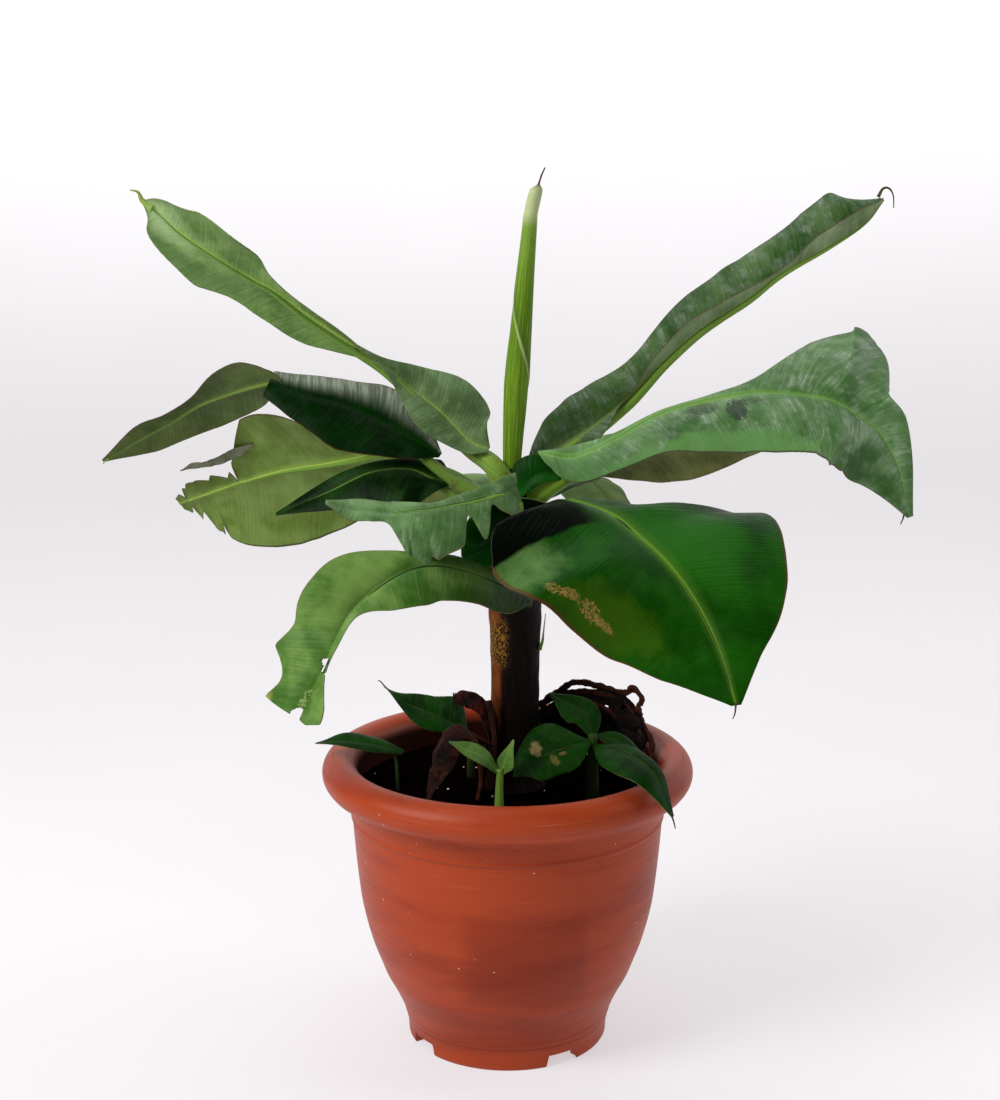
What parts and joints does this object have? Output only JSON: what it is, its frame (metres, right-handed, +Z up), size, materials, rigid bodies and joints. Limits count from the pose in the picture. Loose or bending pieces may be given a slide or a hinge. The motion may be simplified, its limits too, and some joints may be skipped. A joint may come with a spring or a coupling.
{
  "type": "potted dwarf banana plant",
  "caption": "Young dwarf banana plant with broad arching leaves, a rolled new leaf and small suckers in a round terracotta-coloured plastic pot.",
  "frame": {"origin": "on the pot's axis, on the floor plane under its foot ring", "axes": "+Z up along the pot's axis, -Y towards the side seen in the picture, +X to the right"},
  "size_m": [0.8555, 0.4857, 0.938],
  "materials": {
    "terracotta_plastic": "satin moulded plastic with fine scuffs",
    "potting_soil": "dark crumbly potting mix",
    "stem_sheath": "ribbed dry leaf bases, dark maroon with a tan side",
    "leaf_green": "satin waxy leaf",
    "leaf_dark": "glossy dark leaf",
    "leaf_pale": "matt olive underside",
    "young_green": "smooth young leaf",
    "dead_leaf": "dry crumpled leaf"
  },
  "bodies": {
    "root": {"pot": "terracotta_plastic", "soil": "potting_soil", "trunk": "stem_sheath", "spear": "young_green", "leaf_upper_left": "leaf_green", "leaf_left_inner": "leaf_dark", "leaf_left_outer": "leaf_pale", "leaf_upper_right": "leaf_green", "leaf_right": "leaf_green", "leaf_low_left": "leaf_pale", "leaf_small_left": "leaf_dark", "leaf_torn_front": "leaf_green", "leaf_back_right": "leaf_pale", "leaf_back": "leaf_green", "leaf_back_left": "leaf_dark", "leaf_front_right": "leaf_dark", "leaf_front_left_inner": "leaf_green", "leaf_front_left_outer": "leaf_green", "sucker_right": "leaf_dark", "sucker_front": "young_green", "sucker_left": "leaf_dark", "sucker_rim_left": "leaf_dark", "dead_leaf_right": "dead_leaf", "dead_leaf_left": "dead_leaf", "dead_sheath": "dead_leaf"}
  },
  "joints": []
}
